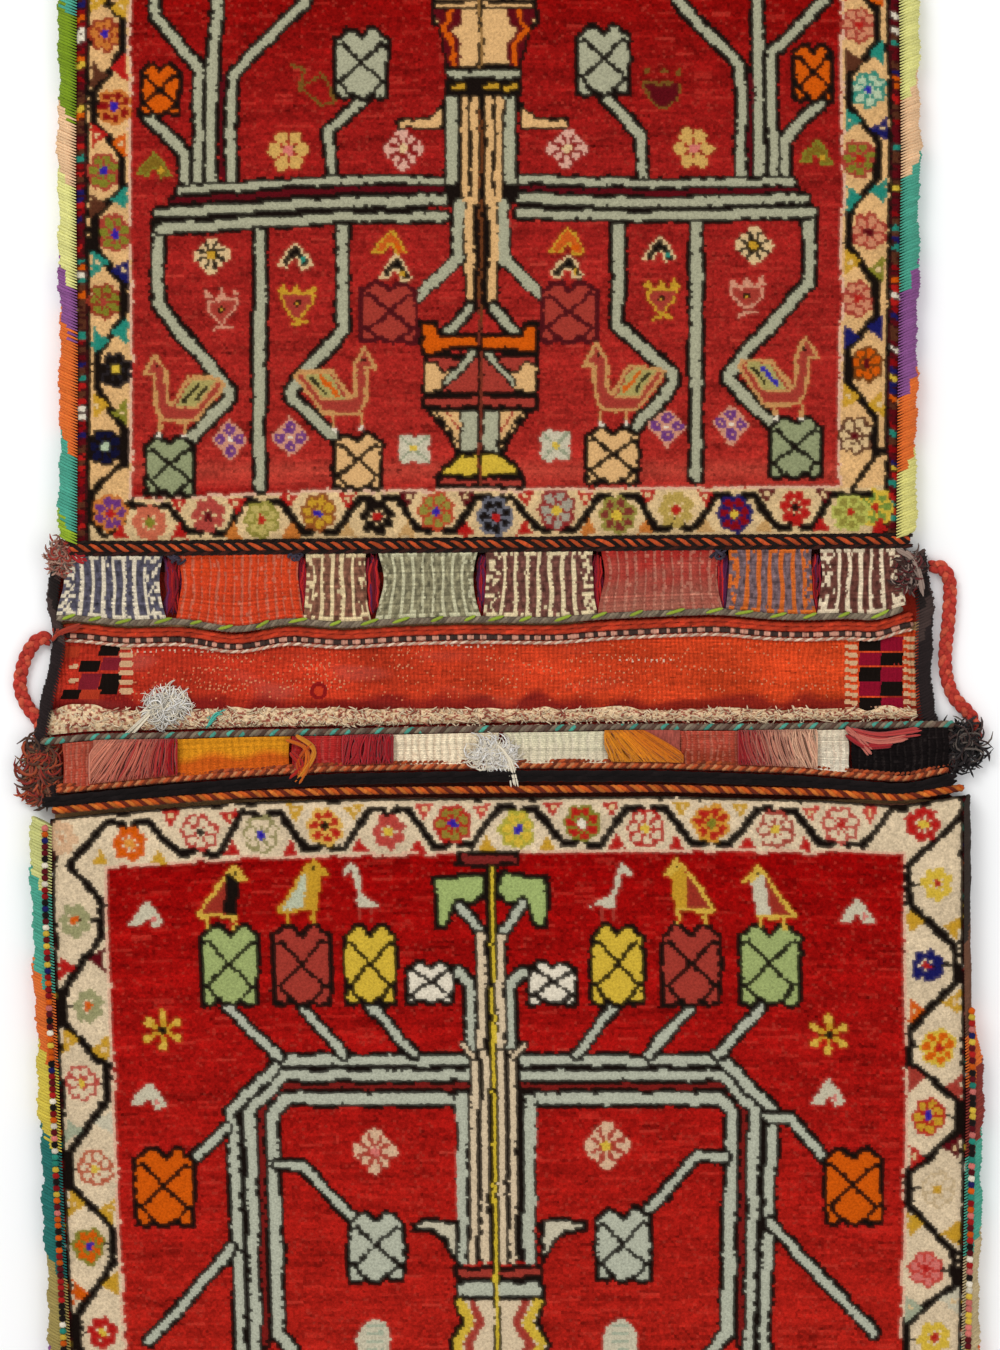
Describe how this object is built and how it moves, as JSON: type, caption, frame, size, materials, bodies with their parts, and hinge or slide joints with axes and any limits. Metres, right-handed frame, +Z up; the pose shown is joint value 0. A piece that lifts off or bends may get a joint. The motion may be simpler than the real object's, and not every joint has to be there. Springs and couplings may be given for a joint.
{
  "type": "kilim saddle bag",
  "caption": "Double saddle bag with knotted-pile faces, a flat-woven bridge and ribbed closure tabs, lying flat.",
  "frame": {"origin": "centre of the bag's outline, on the surface that it lies on", "axes": "+Y along the bag towards the upper bag, +X across it, +Z up through the pile faces"},
  "size_m": [0.6503, 1.402, 0.021],
  "materials": {
    "bridge_frayed_strip_wool": "matt wool",
    "bridge_left_binding_wool": "matt wool",
    "bridge_right_binding_wool": "matt wool",
    "bridge_twined_row_wool": "matt wool",
    "kilim_back_and_bridge_wool": "matt wool",
    "left_braided_cord_wool": "matt wool",
    "left_loose_hank_wool": "matt wool",
    "lower_border_wool": "matt wool",
    "lower_bottom_seam_wool": "matt wool",
    "lower_closure_cord_wool": "matt wool",
    "lower_left_binding_1_gold_wool": "matt wool",
    "lower_left_binding_2_teal_wool": "matt wool",
    "lower_left_binding_3_lime_wool": "matt wool",
    "lower_meander_wool": "matt wool",
    "lower_mouth_rope_wool": "matt wool",
    "lower_pile_face_wool": "matt wool",
    "lower_right_binding_1_beige_wool": "matt wool",
    "lower_right_binding_2_sea_green_wool": "matt wool",
    "lower_right_binding_3_olive_wool": "matt wool",
    "lower_tab_black_wool": "matt wool",
    "lower_tab_cream_wool": "matt wool",
    "lower_tab_crimson_wool": "matt wool",
    "lower_tab_dusty_rose_wool": "matt wool",
    "lower_tab_gold_wool": "matt wool",
    "lower_tab_ivory_wool": "matt wool",
    "lower_tab_mint_wool": "matt wool",
    "lower_tab_rose_wool": "matt wool",
    "lower_tree_wool": "matt wool",
    "lower_twined_row_wool": "matt wool",
    "lower_wrap_amber_wool": "matt wool",
    "lower_wrap_coral_wool": "matt wool",
    "lower_wrap_pink_wool": "matt wool",
    "lower_wrap_scarlet_wool": "matt wool",
    "mouth_welt_wool": "matt wool",
    "right_braided_cord_wool": "matt wool",
    "right_loose_hank_wool": "matt wool",
    "upper_border_wool": "matt wool",
    "upper_bottom_seam_wool": "matt wool",
    "upper_closure_cord_wool": "matt wool",
    "upper_left_binding_1_olive_wool": "matt wool",
    "upper_left_binding_2_violet_wool": "matt wool",
    "upper_left_binding_3_orange_wool": "matt wool",
    "upper_meander_wool": "matt wool",
    "upper_mouth_rope_wool": "matt wool",
    "upper_pile_face_wool": "matt wool",
    "upper_right_binding_1_yellow_wool": "matt wool",
    "upper_right_binding_2_teal_wool": "matt wool",
    "upper_right_binding_3_peach_wool": "matt wool",
    "upper_tab_brown_wool": "matt wool",
    "upper_tab_navy_wool": "matt wool",
    "upper_tab_orange_wool": "matt wool",
    "upper_tab_rose_wool": "matt wool",
    "upper_tab_sage_wool": "matt wool",
    "upper_tab_slate_wool": "matt wool",
    "upper_tab_umber_wool": "matt wool",
    "upper_tab_walnut_wool": "matt wool",
    "upper_tree_wool": "matt wool"
  },
  "bodies": {
    "root": {"bridge_frayed_strip": "bridge_frayed_strip_wool", "bridge_left_binding": "bridge_left_binding_wool", "bridge_right_binding": "bridge_right_binding_wool", "bridge_twined_row": "bridge_twined_row_wool", "kilim_back_and_bridge": "kilim_back_and_bridge_wool", "left_braided_cord": "left_braided_cord_wool", "left_loose_hank": "left_loose_hank_wool", "lower_border": "lower_border_wool", "lower_bottom_seam": "lower_bottom_seam_wool", "lower_closure_cord": "lower_closure_cord_wool", "lower_left_binding_1_gold": "lower_left_binding_1_gold_wool", "lower_left_binding_2_teal": "lower_left_binding_2_teal_wool", "lower_left_binding_3_lime": "lower_left_binding_3_lime_wool", "lower_meander": "lower_meander_wool", "lower_mouth_rope": "lower_mouth_rope_wool", "lower_pile_face": "lower_pile_face_wool", "lower_right_binding_1_beige": "lower_right_binding_1_beige_wool", "lower_right_binding_2_sea_green": "lower_right_binding_2_sea_green_wool", "lower_right_binding_3_olive": "lower_right_binding_3_olive_wool", "lower_tab_black": "lower_tab_black_wool", "lower_tab_cream": "lower_tab_cream_wool", "lower_tab_crimson": "lower_tab_crimson_wool", "lower_tab_dusty_rose": "lower_tab_dusty_rose_wool", "lower_tab_gold": "lower_tab_gold_wool", "lower_tab_ivory": "lower_tab_ivory_wool", "lower_tab_mint": "lower_tab_mint_wool", "lower_tab_rose": "lower_tab_rose_wool", "lower_tree": "lower_tree_wool", "lower_twined_row": "lower_twined_row_wool", "lower_wrap_amber": "lower_wrap_amber_wool", "lower_wrap_coral": "lower_wrap_coral_wool", "lower_wrap_pink": "lower_wrap_pink_wool", "lower_wrap_scarlet": "lower_wrap_scarlet_wool", "mouth_welt": "mouth_welt_wool", "right_braided_cord": "right_braided_cord_wool", "right_loose_hank": "right_loose_hank_wool", "upper_border": "upper_border_wool", "upper_bottom_seam": "upper_bottom_seam_wool", "upper_closure_cord": "upper_closure_cord_wool", "upper_left_binding_1_olive": "upper_left_binding_1_olive_wool", "upper_left_binding_2_violet": "upper_left_binding_2_violet_wool", "upper_left_binding_3_orange": "upper_left_binding_3_orange_wool", "upper_meander": "upper_meander_wool", "upper_mouth_rope": "upper_mouth_rope_wool", "upper_pile_face": "upper_pile_face_wool", "upper_right_binding_1_yellow": "upper_right_binding_1_yellow_wool", "upper_right_binding_2_teal": "upper_right_binding_2_teal_wool", "upper_right_binding_3_peach": "upper_right_binding_3_peach_wool", "upper_tab_brown": "upper_tab_brown_wool", "upper_tab_navy": "upper_tab_navy_wool", "upper_tab_orange": "upper_tab_orange_wool", "upper_tab_rose": "upper_tab_rose_wool", "upper_tab_sage": "upper_tab_sage_wool", "upper_tab_slate": "upper_tab_slate_wool", "upper_tab_umber": "upper_tab_umber_wool", "upper_tab_walnut": "upper_tab_walnut_wool", "upper_tree": "upper_tree_wool"}
  },
  "joints": []
}
